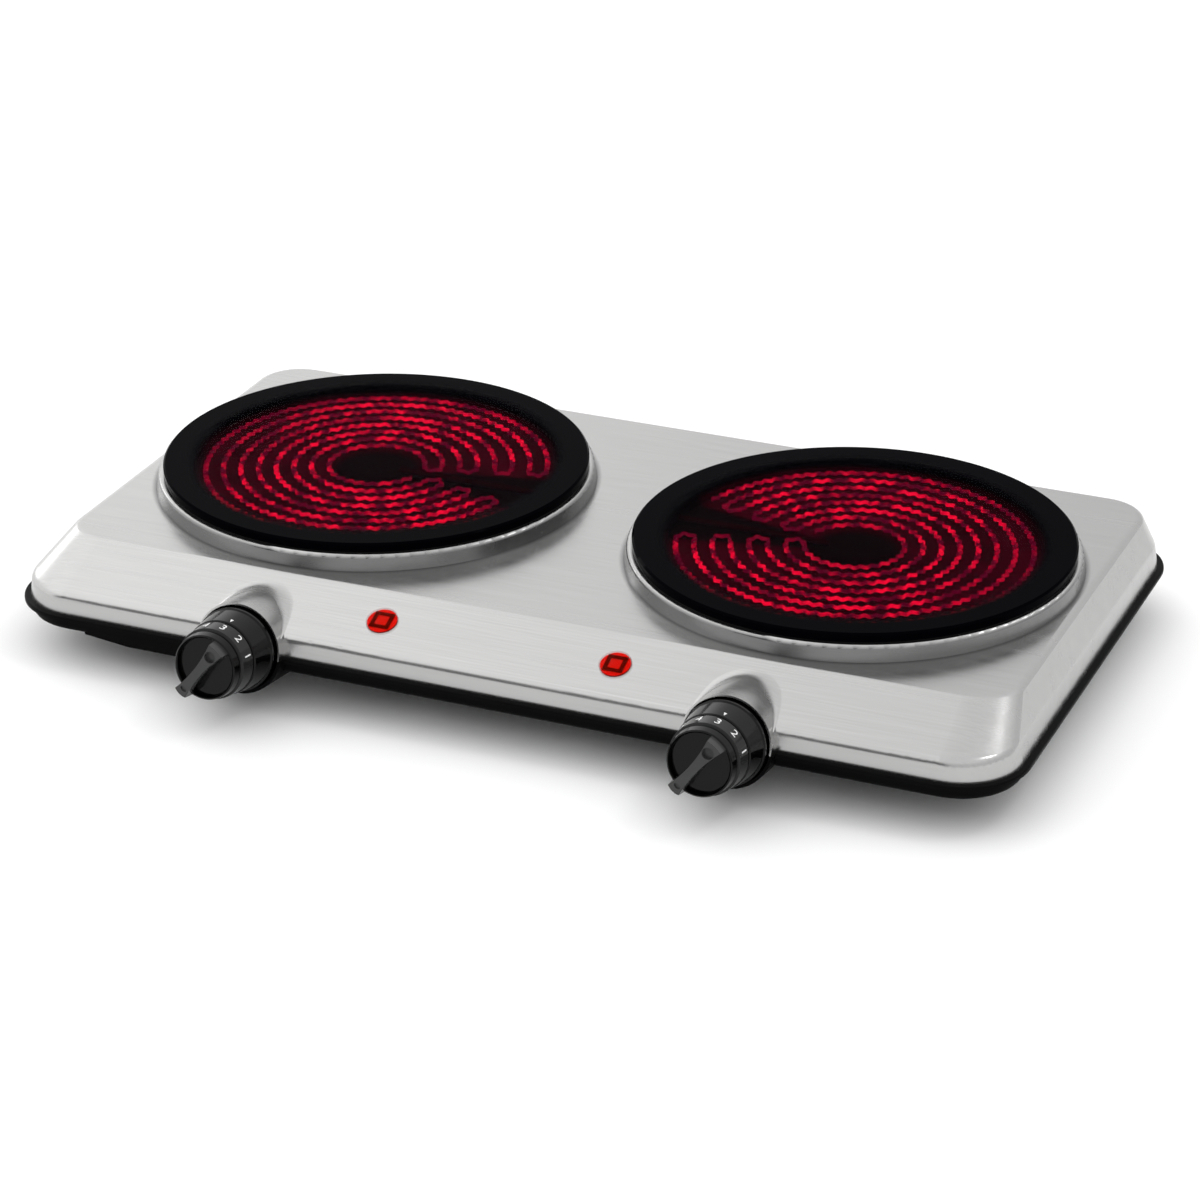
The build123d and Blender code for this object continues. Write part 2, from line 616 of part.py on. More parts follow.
def make_lamp(side, hand):
    """Domed lens with a hollow barrel through the slope, a neon lamp and a push-on clip."""
    face = lamp_face(hand)
    section = Plane(origin=face.origin, x_dir=face.x_dir, z_dir=face.x_dir.cross(face.z_dir))
    axis = Axis(face.origin, face.z_dir)
    rise = LENS_TOP - LENS_EDGE
    dome_r = (LENS_R ** 2 + rise ** 2) / (2 * rise)
    middle = LENS_TOP - dome_r + (dome_r ** 2 - (LENS_R / 2) ** 2) ** 0.5
    with BuildPart() as lens:
        with BuildSketch(section):
            with BuildLine():
                Polyline((0, LENS_TOP), (0, 0.6), (4.4, 0.6), (4.4, -10.0), (5.6, -10.0), (5.6, 0),
                         (LENS_R, 0), (LENS_R, LENS_EDGE))
                ThreePointArc((LENS_R, LENS_EDGE), (LENS_R / 2, middle), (0, LENS_TOP))
            make_face()
        revolve(axis=axis)
    save(lens, f"lamp_lens_{side}")
    with BuildPart() as neon:
        with BuildSketch(lamp_face(hand, 0.0)):
            Circle(2.8)
        extrude(amount=-9.0)
        fillet(neon.faces().sort_by(Axis.Z)[-1].edges(), radius=1.5)
        with BuildSketch(lamp_face(hand, -9.0)):
            with Locations((-1.2, 0), (1.2, 0)):
                Circle(0.4)
        extrude(amount=-6.0)
    save(neon, f"neon_lamp_{side}")
    with BuildPart() as clip:
        with BuildSketch(lamp_face(hand, -STEEL - 0.2)):
            Circle(8.6)
            Circle(5.6, mode=Mode.SUBTRACT)
        extrude(amount=-0.6)
    save(clip, f"lamp_clip_{side}")


# ---------------------------------------------------------------- wiring
TERMINAL_Y = CASE_Y + 104.0


def make_cord_inlet():
    """Bush in the back of the casing that the supply cord passes through."""
    outside = CASE_Y + FLANGE_Y - 0.3
    face = Plane(origin=(0, outside, INLET_Z), x_dir=(-1, 0, 0), z_dir=(0, 1, 0))
    with BuildPart() as bush:
        with BuildSketch(face):
            Circle(INLET_BORE_R + 2.4)
        extrude(amount=-INLET_LENGTH)
        with BuildSketch(face):
            Circle(INLET_BORE_R + 5.0)
        extrude(amount=-2.4)
        fillet(bush.edges().group_by(Axis.Y)[-1], radius=0.9)
        with BuildSketch(face.offset(-8.4)):
            Circle(INLET_BORE_R + 4.4)
        extrude(amount=-2.0)
        with BuildSketch(face):
            Circle(INLET_BORE_R)
        extrude(amount=-INLET_LENGTH, mode=Mode.SUBTRACT)
    save(bush, "cord_inlet_bush")


def make_terminal_block():
    floor = FOOT_HEIGHT + TRAY_T
    with BuildPart() as block:
        level = Plane(origin=(0, TERMINAL_Y, floor), x_dir=(1, 0, 0), z_dir=(0, 0, 1))
        with BuildSketch(level):
            Rectangle(34, 14)
        extrude(amount=9)
        with BuildSketch(level.offset(9)):
            with Locations((-10, 0), (0, 0), (10, 0)):
                Circle(3.6)
        extrude(amount=3)
        with BuildSketch(level.offset(12)):
            with Locations((-10, 0), (0, 0), (10, 0)):
                Circle(2.0)
        extrude(amount=-7, mode=Mode.SUBTRACT)
    save(block, "terminal_block")
    with BuildPart() as screw:
        spot = Plane(origin=(30, TERMINAL_Y, floor), x_dir=(1, 0, 0), z_dir=(0, 0, 1))
        with BuildSketch(spot):
            Circle(SCREW_R)
        extrude(amount=7)
        with BuildSketch(spot):
            RegularPolygon(4.0, 6)
        extrude(amount=3.0)
        with BuildSketch(spot):
            Circle(5.0)
        extrude(amount=0.8)
    save(screw, "earth_screw")


LEAD_R = 1.5


def make_power_lead(side, hand):
    """Insulated lead from the terminal block to a regulator, clipped to the tray floor."""
    low = FOOT_HEIGHT + TRAY_T + LEAD_R + 0.5
    back = knob_face(hand, REGULATOR_FRONT - REGULATOR_LENGTH - 4.2)
    end = back.origin
    route = [
        (hand * 10, TERMINAL_Y - 7.8, low + 2),
        (hand * 14, TERMINAL_Y - 30, low),
        (hand * 14, CASE_Y - 40, low),
        (hand * 40, CASE_Y - 84, low),
        (hand * (KNOB_X - 26), CASE_Y - 86, low),
        (end.X, end.Y + 6, end.Z),
    ]
    with BuildPart() as lead:
        with BuildLine() as path:
            FilletPolyline(*route, radius=8.0)
        with BuildSketch(Plane(origin=path.line @ 0, z_dir=path.line % 0)):
            Circle(LEAD_R)
        sweep()
    save(lead, f"power_lead_{side}")


# ---------------------------------------------------------------- build
make_top_shell()
make_casing_brackets()
make_base_tray()
make_feet()
make_screws()
make_cord_inlet()
make_terminal_block()
for side, hand in SIDES:
    make_glass(side, hand)
    make_gasket(side, hand)
    make_heater_dish(side, hand)
    make_insulation(side, hand)
    make_heating_ribbon(side, hand)
    make_limiter(side, hand)
    make_heater_spring(side, hand)
    make_bezel(side, hand)
    make_knob(side, hand)
    make_knob_clip(side, hand)
    make_regulator(side, hand)
    make_regulator_bracket(side, hand)
    make_lamp(side, hand)
    make_power_lead(side, hand)
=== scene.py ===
import json
from math import atan2, cos, pi, radians, sin, tan

import bmesh
import bpy
from mathutils import Matrix, Vector


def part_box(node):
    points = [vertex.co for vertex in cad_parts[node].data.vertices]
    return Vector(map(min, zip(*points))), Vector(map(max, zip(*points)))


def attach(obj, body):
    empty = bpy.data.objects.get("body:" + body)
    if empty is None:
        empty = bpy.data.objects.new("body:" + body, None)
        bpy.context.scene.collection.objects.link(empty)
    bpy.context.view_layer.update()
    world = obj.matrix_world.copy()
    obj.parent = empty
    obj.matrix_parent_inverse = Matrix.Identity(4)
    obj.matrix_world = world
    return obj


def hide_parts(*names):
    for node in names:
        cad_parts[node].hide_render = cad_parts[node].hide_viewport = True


# Double infrared hot plate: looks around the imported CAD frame. Metres, +Z up, +Y to the back.
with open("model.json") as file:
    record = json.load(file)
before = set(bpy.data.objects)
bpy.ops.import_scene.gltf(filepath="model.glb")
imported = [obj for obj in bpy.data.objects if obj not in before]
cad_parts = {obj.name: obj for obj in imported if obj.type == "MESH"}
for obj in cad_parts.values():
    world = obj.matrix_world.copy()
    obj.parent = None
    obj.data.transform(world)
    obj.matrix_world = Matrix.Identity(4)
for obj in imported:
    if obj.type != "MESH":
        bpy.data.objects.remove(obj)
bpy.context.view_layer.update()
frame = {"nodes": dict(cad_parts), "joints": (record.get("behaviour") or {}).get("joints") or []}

MM = 0.001
SIDES = (("left", -1), ("right", 1))


# ---------------------------------------------------------------- places, from the frame
def middle(node):
    low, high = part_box(node)
    return (low + high) / 2


CASE_HALF_DEPTH = 127.9 * MM
SHELL_LOW, SHELL_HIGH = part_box("top_shell")
CASE_Y = SHELL_HIGH.y - CASE_HALF_DEPTH          # middle of the casing
RIM_Z = SHELL_LOW.z                              # lower edge of the casing
GLASS_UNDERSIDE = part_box("glass_left")[0].z
RIBBON_LOW, RIBBON_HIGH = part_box("heating_ribbon_left")
BURNER = middle("glass_right")                   # the left one mirrors it in X

# A point on each knob's axis, in the plane of the bezel's outer rim.
KNOB_AXES = {joint["child"]: Vector(joint["pos_m"]) for joint in frame["joints"]}
KNOB_TILT = radians(8)
KNOB_OUT = Vector((0, -cos(KNOB_TILT), sin(KNOB_TILT)))
KNOB_UP = Vector((0, sin(KNOB_TILT), cos(KNOB_TILT)))
RIGHT = Vector((1, 0, 0))


def around_axis(angle):
    """Direction square to a knob's axis, at this angle from +X as seen from the front."""
    return cos(angle) * RIGHT + sin(angle) * KNOB_UP


# ---------------------------------------------------------------- small helpers
def piece(name, mesh, body, material, replaces=()):
    """A finished mesh as an object that rides on a body and takes its finish from a slot."""
    made = bpy.data.objects.new(name, mesh)
    bpy.context.scene.collection.objects.link(made)
    mesh.materials.clear()
    mesh.materials.append(material)
    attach(made, body)
    if replaces:
        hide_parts(*replaces)
    return made


SHARP_EDGE = radians(35)


def mesh_from(name, points, faces, smooth=True):
    """A mesh with its faces turned outwards, smooth up to the sharp edge's angle."""
    mesh = bpy.data.meshes.new(name)
    mesh.from_pydata([tuple(point) for point in points], [], faces)
    mesh.validate()
    edit = bmesh.new()
    edit.from_mesh(mesh)
    bmesh.ops.recalc_face_normals(edit, faces=edit.faces)
    edit.to_mesh(mesh)
    edit.free()
    if smooth:
        mesh.shade_smooth()
        mesh.set_sharp_from_angle(angle=SHARP_EDGE)
    return mesh


# ---------------------------------------------------------------- materials
def new_material(name):
    material = bpy.data.materials.new(name)
    material.use_nodes = True
    return material, material.node_tree, material.node_tree.nodes["Principled BSDF"]


def noise(tree, scale, detail=3.0, stretch=(1, 1, 1)):
    """Noise in the object's own coordinates, stretched along the axes given."""
    place = tree.nodes.new("ShaderNodeTexCoord")
    mapping = tree.nodes.new("ShaderNodeMapping")
    mapping.inputs["Scale"].default_value = stretch
    texture = tree.nodes.new("ShaderNodeTexNoise")
    texture.inputs["Scale"].default_value = scale
    texture.inputs["Detail"].default_value = detail
    tree.links.new(place.outputs["Object"], mapping.inputs["Vector"])
    tree.links.new(mapping.outputs["Vector"], texture.inputs["Vector"])
    return texture.outputs["Fac"]


def spread(tree, source, low, high):
    """The source's middle range mapped to run from low to high."""
    mapped = tree.nodes.new("ShaderNodeMapRange")
    mapped.inputs["From Min"].default_value = 0.3
    mapped.inputs["From Max"].default_value = 0.7
    mapped.inputs["To Min"].default_value = low
    mapped.inputs["To Max"].default_value = high
    tree.links.new(source, mapped.inputs["Value"])
    return mapped.outputs["Result"]


def two_tone(tree, source, first, second):
    mix = tree.nodes.new("ShaderNodeMix")
    mix.data_type = "RGBA"
    mix.inputs["A"].default_value = (*first, 1)
    mix.inputs["B"].default_value = (*second, 1)
    tree.links.new(source, mix.inputs["Factor"])
    return mix.outputs["Result"]


def bump(tree, shader, source, strength, distance):
    node = tree.nodes.new("ShaderNodeBump")
    node.inputs["Strength"].default_value = strength
    node.inputs["Distance"].default_value = distance
    tree.links.new(source, node.inputs["Height"])
    tree.links.new(node.outputs["Normal"], shader.inputs["Normal"])


def ramp(tree, source, start, end, low=0.0, high=1.0):
    """Smooth change from low to high while the source goes from start to end."""
    node = tree.nodes.new("ShaderNodeMapRange")
    node.interpolation_type = "SMOOTHSTEP"
    node.inputs["From Min"].default_value = start
    node.inputs["From Max"].default_value = end
    node.inputs["To Min"].default_value = low
    node.inputs["To Max"].default_value = high
    tree.links.new(source, node.inputs["Value"])
    return node.outputs["Result"]


def combined(tree, operation, first, second):
    node = tree.nodes.new("ShaderNodeMath")
    node.operation = operation
    tree.links.new(first, node.inputs[0])
    tree.links.new(second, node.inputs[1])
    return node.outputs[0]


def times(tree, first, second):
    return combined(tree, "MULTIPLY", first, second)


def band(tree, source, rise, fall, before=0.0, inside=1.0, after=0.0):
    """Smooth change from before to inside over rise, then to the share after of it over fall."""
    return times(tree, ramp(tree, source, *rise, before, inside), ramp(tree, source, *fall, 1.0, after))


def coordinate(tree, axis):
    """The object's own X, Y or Z."""
    place = tree.nodes.new("ShaderNodeTexCoord")
    parts = tree.nodes.new("ShaderNodeSeparateXYZ")
    tree.links.new(place.outputs["Object"], parts.inputs["Vector"])
    return parts.outputs[axis]


def distance(tree, axis, plane=0.0):
    """Distance along X or Y from a plane."""
    shifted = tree.nodes.new("ShaderNodeMath")
    shifted.operation = "SUBTRACT"
    shifted.inputs[1].default_value = plane
    size = tree.nodes.new("ShaderNodeMath")
    size.operation = "ABSOLUTE"
    tree.links.new(coordinate(tree, axis), shifted.inputs[0])
    tree.links.new(shifted.outputs[0], size.inputs[0])
    return size.outputs[0]


def burner_radius(tree):
    """Distance from the middle of the nearer burner."""
    flat = tree.nodes.new("ShaderNodeCombineXYZ")
    away = tree.nodes.new("ShaderNodeVectorMath")
    away.operation = "DISTANCE"
    away.inputs[1].default_value = (BURNER.x, BURNER.y, 0)
    tree.links.new(distance(tree, "X"), flat.inputs["X"])
    tree.links.new(coordinate(tree, "Y"), flat.inputs["Y"])
    tree.links.new(flat.outputs["Vector"], away.inputs[0])
    return away.outputs["Value"]


GAP_SLOPE = 0.23                        # half width of the ribbon's gap over its length


def outside_gap(tree, start, end, low=0.0):
    """Low in the sector without ribbon, which faces the other burner, and 1 beside it.

    The change runs from start to end, counted outwards from the sector's edge.
    """
    sloped = tree.nodes.new("ShaderNodeMath")
    sloped.operation = "MULTIPLY_ADD"
    sloped.inputs[1].default_value = GAP_SLOPE
    tree.links.new(distance(tree, "X"), sloped.inputs[0])
    tree.links.new(distance(tree, "Y", BURNER.y), sloped.inputs[2])
    edge = BURNER.x * GAP_SLOPE
    return ramp(tree, sloped.outputs[0], edge + start, edge + end, low)


FINE_GRAIN = 0.05 * MM                  # height of a moulded surface's grain


def grey(level):
    return (level, level, level)


def moulded(name, dark, light, rough, grain_scale=900, grain=0.15, metal=0.0, gloss=0.5):
    """A plain finish with slight mottling in colour and roughness, and a fine surface grain."""
    material, tree, shader = new_material(name)
    mottle = noise(tree, 60)
    tree.links.new(two_tone(tree, mottle, dark, light), shader.inputs["Base Color"])
    tree.links.new(spread(tree, mottle, rough * 0.85, rough * 1.15), shader.inputs["Roughness"])
    bump(tree, shader, noise(tree, grain_scale, 2.0), grain, FINE_GRAIN)
    shader.inputs["Metallic"].default_value = metal
    shader.inputs["Specular IOR Level"].default_value = gloss
    return material


# Where a look changes, as distances from the middle of a burner.
# The first band is the painted shade at the foot of each burner ring.
RING_FOOT_SHADE = (99.6 * MM, 101.4 * MM), (102.0 * MM, 105.0 * MM)
GLASS_TINT = (80 * MM, 89 * MM)
HOT_TURNS = (18 * MM, 34 * MM), (74 * MM, 81 * MM)
# Painted red light from the ribbons on the insulation board, by distance from the burner's middle.
RIBBON_LIGHT_POOL = (17 * MM, 26 * MM), (79 * MM, 86 * MM)
OUTER_SIDE = (35 * MM, 80 * MM)         # beyond the middle of the burner, away from the other one
BRUSH_DEPTH = 0.004 * MM


def brushed_steel(name):
    """Stainless sheet brushed along its length: fine streaks along X in tone, gloss and surface."""
    material, tree, shader = new_material(name)
    along = (0.02, 1.0, 1.0)
    streaks = noise(tree, 1300, 2.0, along)
    broad = noise(tree, 160, 2.0, along)
    sheet = two_tone(tree, streaks, (0.405, 0.403, 0.400), (0.475, 0.472, 0.469))
    # Painted shade: the stamped foot of each burner ring is painted darker, as a thin contact shadow.
    foot = band(tree, burner_radius(tree), *RING_FOOT_SHADE, inside=0.8)
    foot_shaded = tree.nodes.new("ShaderNodeMix")
    foot_shaded.data_type = "RGBA"
    foot_shaded.inputs["B"].default_value = (*grey(0.12), 1)
    tree.links.new(foot, foot_shaded.inputs["Factor"])
    tree.links.new(sheet, foot_shaded.inputs["A"])
    tree.links.new(foot_shaded.outputs["Result"], shader.inputs["Base Color"])
    tree.links.new(spread(tree, broad, 0.22, 0.28), shader.inputs["Roughness"])
    bump(tree, shader, streaks, 0.05, BRUSH_DEPTH)
    shader.inputs["Metallic"].default_value = 1.0
    return material


def ceramic_glass(name):
    """Black ceramic glass: solid black at its rim, and dark but clear over the ribbons."""
    material, tree, shader = new_material(name)
    tint = two_tone(tree, noise(tree, 14), (0.0004, 0.0004, 0.0008), (0.0009, 0.0009, 0.0018))
    tree.links.new(tint, shader.inputs["Base Color"])
    tree.links.new(spread(tree, noise(tree, 40), 0.05, 0.09), shader.inputs["Roughness"])
    tree.links.new(ramp(tree, burner_radius(tree), *GLASS_TINT, 0.30, 1.0), shader.inputs["Alpha"])
    shader.inputs["Specular IOR Level"].default_value = 0.004
    return material


def matt_and_lit(material, shader, rough, strength):
    """A surface without gloss whose light is only seen and isn't sampled as a lamp."""
    shader.inputs["Emission Strength"].default_value = strength
    shader.inputs["Roughness"].default_value = rough
    shader.inputs["Specular IOR Level"].default_value = 0.0
    material.cycles.emission_sampling = "NONE"


def glow(name, low, high, strength):
    """Hot metal in bright and dull stretches, duller at the rims, the hairpins and the outer side."""
    material, tree, shader = new_material(name)
    patches = ramp(tree, noise(tree, 130, 1.0), 0.38, 0.66)
    rims = band(tree, burner_radius(tree), *HOT_TURNS, before=0.5, after=0.45)
    hairpins = outside_gap(tree, 4 * MM, 14 * MM, 0.12)
    near, far = OUTER_SIDE
    outer = ramp(tree, distance(tree, "X"), BURNER.x + near, BURNER.x + far, 1.0, 0.35)
    heat = times(tree, times(tree, times(tree, patches, rims), hairpins), outer)
    tree.links.new(two_tone(tree, heat, low, high), shader.inputs["Emission Color"])
    cold = two_tone(tree, noise(tree, 300), (0.02, 0.002, 0.002), (0.05, 0.006, 0.006))
    tree.links.new(cold, shader.inputs["Base Color"])
    matt_and_lit(material, shader, 0.7, strength)
    return material


def lit_board(name):
    """Insulation seen through the glass: black, with painted dull red light where the ribbons shine on it.
    """
    material, tree, shader = new_material(name)
    board = two_tone(tree, noise(tree, 240), (0.003, 0.001, 0.001), (0.010, 0.002, 0.002))
    tree.links.new(board, shader.inputs["Base Color"])
    # Painted light: the ribbons' red light on the board is an emission here, not light cast by them.
    ribbon_lit = times(tree, band(tree, burner_radius(tree), *RIBBON_LIGHT_POOL), outside_gap(tree, -1 * MM, 3 * MM))
    cloud = times(tree, ribbon_lit, spread(tree, noise(tree, 55), 0.35, 1.0))
    tree.links.new(two_tone(tree, cloud, grey(0.0), (0.060, 0.0, 0.006)), shader.inputs["Emission Color"])
    matt_and_lit(material, shader, 0.9, 1.0)
    return material


# Where the painted highlight on a knob changes, along its axis from the bezel's rim.
DIAL_HIGHLIGHT_BAND = (13.5 * MM, 14.5 * MM), (21.8 * MM, 22.8 * MM)
GRIP_HIGHLIGHT_BAND = (28.5 * MM, 31.5 * MM)


def knob_plastic(name):
    """Glossy black. The grip and the dial carry a painted highlight, so they are lighter than the deep dish
    and the collar.
    """
    material, tree, shader = new_material(name)
    place = tree.nodes.new("ShaderNodeTexCoord")
    along = tree.nodes.new("ShaderNodeVectorMath")
    along.operation = "DOT_PRODUCT"
    along.inputs[1].default_value = KNOB_OUT
    tree.links.new(place.outputs["Object"], along.inputs[0])
    depth = along.outputs["Value"]
    # The axis has no part along X, so this level holds for both knobs.
    rim = KNOB_AXES["left_knob_body"].dot(KNOB_OUT)
    rise, fall, grip = [(rim + start, rim + end) for start, end in (*DIAL_HIGHLIGHT_BAND, GRIP_HIGHLIGHT_BAND)]
    # Painted highlight: the dial band and the grip are made lighter in colour, standing in for their
    # reflections.
    painted_highlight = combined(tree, "ADD", ramp(tree, depth, *grip), band(tree, depth, rise, fall, inside=0.35))
    tone = times(tree, painted_highlight, spread(tree, noise(tree, 90), 0.85, 1.0))
    tree.links.new(two_tone(tree, tone, grey(0.0012), grey(0.050)), shader.inputs["Base Color"])
    tree.links.new(spread(tree, noise(tree, 60), 0.09, 0.13), shader.inputs["Roughness"])
    bump(tree, shader, noise(tree, 900, 2.0), 0.03, FINE_GRAIN)
    shader.inputs["Specular IOR Level"].default_value = 0.17
    return material


def red_lens(name):
    """Thin clear red plastic that glows a little."""
    material, tree, shader = new_material(name)
    cloud = noise(tree, 160)
    body = two_tone(tree, cloud, (0.35, 0.001, 0.0), (0.50, 0.006, 0.0))
    light = two_tone(tree, cloud, (0.55, 0.004, 0.0), (0.8, 0.03, 0.0))
    tree.links.new(body, shader.inputs["Base Color"])
    tree.links.new(light, shader.inputs["Emission Color"])
    tree.links.new(spread(tree, cloud, 0.08, 0.12), shader.inputs["Roughness"])
    shader.inputs["Emission Strength"].default_value = 0.18
    shader.inputs["Specular IOR Level"].default_value = 0.15
    shader.inputs["Alpha"].default_value = 0.16
    return material


DIAL_WHITE = moulded("dial_white_print", grey(0.78), grey(0.88), 0.5)
LAMP_RED = moulded("lamp_red_reflector", (0.62, 0.001, 0.0), (0.80, 0.004, 0.0), 0.3, gloss=0.02)
LAMP_BLACK = moulded("lamp_black_frame", (0.002, 0.0, 0.0), (0.006, 0.0, 0.0), 0.5, gloss=0.0)

# One finished material for each of the record's slots.
LOOKS = {
    "stainless": brushed_steel("stainless_brushed"),
    "black_tray": moulded("black_tray_paint", grey(0.001), grey(0.003), 0.4, gloss=0.03),
    "gloss_black": knob_plastic("gloss_black_plastic"),
    "ceramic_glass": ceramic_glass("ceramic_glass_black"),
    "silicone": moulded("silicone_black", grey(0.003), grey(0.005), 0.6, gloss=0.1),
    "rubber_foot": moulded("rubber_foot_black", grey(0.010), grey(0.020), 0.75, 500, 0.35),
    "dish_steel": moulded("dish_steel_plate", (0.28, 0.28, 0.27), (0.38, 0.38, 0.37), 0.4, metal=1.0),
    "silica_board": lit_board("silica_board_lit"),
    "glowing_ribbon": glow("glowing_ribbon_hot", (0.085, 0.0, 0.012), (1.0, 0.002, 0.035), 1.75),
    "quartz": moulded("quartz_rod", (0.012, 0.0, 0.001), (0.03, 0.001, 0.002), 0.3, gloss=0.0),
    "ceramic": moulded("ceramic_block", (0.60, 0.57, 0.50), (0.72, 0.69, 0.62), 0.6, 400, 0.3),
    "spring_steel": moulded("spring_steel_strip", (0.35, 0.35, 0.36), (0.48, 0.48, 0.49), 0.32,
                            metal=1.0),
    "zinc_steel": moulded("zinc_plated_steel", (0.50, 0.50, 0.52), (0.66, 0.66, 0.68), 0.35,
                          metal=1.0),
    "shaft_steel": moulded("shaft_steel_turned", (0.45, 0.45, 0.46), (0.60, 0.60, 0.61), 0.25,
                           metal=1.0),
    "regulator_case": moulded("regulator_case_plastic", (0.02, 0.02, 0.022), (0.035, 0.035, 0.038),
                              0.5),
    "red_lens": red_lens("red_lens_plastic"),
    "neon_glass": moulded("neon_glass_tube", (0.75, 0.30, 0.18), (0.85, 0.42, 0.28), 0.15),
    "black_bush": moulded("black_bush_nylon", grey(0.010), grey(0.018), 0.5),
    "terminal_plastic": moulded("terminal_plastic_white", (0.70, 0.70, 0.66), (0.80, 0.80, 0.76),
                                0.45),
    "brass": moulded("brass_turned", (0.60, 0.42, 0.16), (0.72, 0.52, 0.22), 0.3, metal=1.0),
    "lead_sleeve": moulded("lead_sleeve_glassfibre", (0.66, 0.62, 0.54), (0.78, 0.74, 0.66), 0.8,
                           1500, 0.4),
}

for node in frame["nodes"].values():
    for slot in node.material_slots:
        slot.material = LOOKS[slot.material.name.split(".")[0]]


# ---------------------------------------------------------------- glowing ribbons
RIBBON_TURNS = 8
CAD_RIBBON_HALF_T = 0.6 * MM
RIBBON_OUTER = (RIBBON_HIGH.y - RIBBON_LOW.y) / 2 - CAD_RIBBON_HALF_T
RIBBON_INNER = 22.3 * MM
RIBBON_PITCH = (RIBBON_OUTER - RIBBON_INNER) / (RIBBON_TURNS - 1)
RIBBON_GAP = radians(16)                # half of the sector without ribbon
RIBBON_HALF_T, RIBBON_TALL = 0.42 * MM, 1.5 * MM
RIBBON_TOP = GLASS_UNDERSIDE - 0.25 * MM
WAVE_LENGTH, WAVE_SWING = 5.2 * MM, 0.85 * MM
STEP = 0.7 * MM                         # along the band, from one ring of points to the next


def ribbon_path():
    """The folded band as (x, y, across x, across y), with its gap along +X."""
    path = []
    for turn in range(RIBBON_TURNS):
        radius = RIBBON_OUTER - turn * RIBBON_PITCH
        # Even turns run from one side of the gap to the other, odd ones back. Hairpins join them.
        start, end = 2 * pi - RIBBON_GAP, RIBBON_GAP
        if turn % 2:
            start, end = end, start
        count = int(abs(end - start) * radius / STEP)
        for number in range(count):
            angle = start + (end - start) * number / count
            path.append((radius * cos(angle), radius * sin(angle), cos(angle), sin(angle)))
        if turn + 1 == RIBBON_TURNS:
            break
        bend = RIBBON_PITCH / 2
        centre = Vector((cos(end), sin(end))) * (radius - bend)
        sweep = -pi if end < pi else pi
        count = int(pi * bend / STEP)
        for number in range(count):
            angle = end + sweep * number / count
            across = Vector((cos(angle), sin(angle)))
            spot = centre + across * bend
            path.append((spot.x, spot.y, across.x, across.y))
    return path


def glowing_ribbon(side, hand):
    """The corrugated band under the glass. The right burner's is turned half round."""
    high = RIBBON_TOP
    low = high - RIBBON_TALL
    points, faces = [], []
    for number, (x, y, across_x, across_y) in enumerate(ribbon_path()):
        shift = WAVE_SWING * sin(2 * pi * number * STEP / WAVE_LENGTH)
        for out, height in ((-1, low), (1, low), (1, high), (-1, high)):
            swing = shift + out * RIBBON_HALF_T
            place_x = hand * (BURNER.x - x - across_x * swing)
            points.append((place_x, BURNER.y - hand * (y + across_y * swing), height))
    rings = len(points) // 4
    for ring in range(rings - 1):
        for corner in range(4):
            a, b = ring * 4 + corner, ring * 4 + (corner + 1) % 4
            faces.append((a, b, b + 4, a + 4))
    faces.append((0, 1, 2, 3))
    faces.append(tuple(4 * (rings - 1) + corner for corner in range(4)))
    mesh = mesh_from(f"glowing_band_{side}", points, faces)
    piece(f"glowing_band_{side}", mesh, "body", LOOKS["glowing_ribbon"],
          [f"heating_ribbon_{side}"])


for side, hand in SIDES:
    glowing_ribbon(side, hand)


# ---------------------------------------------------------------- print on the knobs
# Two levels on each cone: distance along the axis from the bezel's rim, and radius there.
DIAL_LEVELS = ((14.0 * MM, 16.4 * MM), (21.8 * MM, 15.9 * MM))
BEZEL_LEVELS = ((0.0, 18.8 * MM), (12.6 * MM, 16.9 * MM))
DIGITS, REST_DIGIT = range(1, 7), 3
DIGIT_SIZE, DIGIT_PLACE = 6.2 * MM, 17.6 * MM
DIGIT_STEP, MARK_ANGLE = radians(30), radians(78)        # the mark stands over the rest digit
MARK_OUTLINE = ((-0.7 * MM, 1.0 * MM), (0.7 * MM, 1.0 * MM), (0, -1.1 * MM))
MARK_PLACE = 10.6 * MM
PRINT_T = 0.06 * MM                                      # half of the thickness of all flat prints


def axis_point(hand):
    """Where the knob's axis crosses the plane of the bezel's outer rim."""
    return KNOB_AXES["left_knob_body" if hand < 0 else "right_knob_body"]


def wrapped(hand, levels, angle, along):
    """Lays a flat print (x to the right, y up) round the knob, with its top towards the casing."""
    (near, near_r), (far, far_r) = levels

    def lay(flat):
        place = along - flat.y
        radius = near_r + (far_r - near_r) * (place - near) / (far - near) + flat.z
        around = around_axis(angle - flat.x / radius)
        return axis_point(hand) + KNOB_OUT * place + around * radius

    return lay


def glyph(text, size):
    """A character as a thin flat mesh."""
    curve = bpy.data.curves.new("glyph", "FONT")
    curve.body = text
    curve.size = size
    curve.align_x, curve.align_y = "CENTER", "CENTER"
    curve.extrude = PRINT_T
    holder = bpy.data.objects.new("glyph", curve)
    bpy.context.scene.collection.objects.link(holder)
    ready = holder.evaluated_get(bpy.context.evaluated_depsgraph_get())
    mesh = bpy.data.meshes.new_from_object(ready)
    bpy.data.objects.remove(holder)
    return mesh


def plate(outline):
    """A thin flat prism from its outline."""
    count = len(outline)
    points = [(x, y, level) for level in (-PRINT_T, PRINT_T) for x, y in outline]
    faces = [tuple(range(count)), tuple(range(count, 2 * count))]
    faces += [(i, (i + 1) % count, count + (i + 1) % count, count + i) for i in range(count)]
    return mesh_from("plate", points, faces, smooth=False)


def disc_outline(radius, count):
    return [(radius * cos(2 * pi * i / count), radius * sin(2 * pi * i / count)) for i in range(count)]


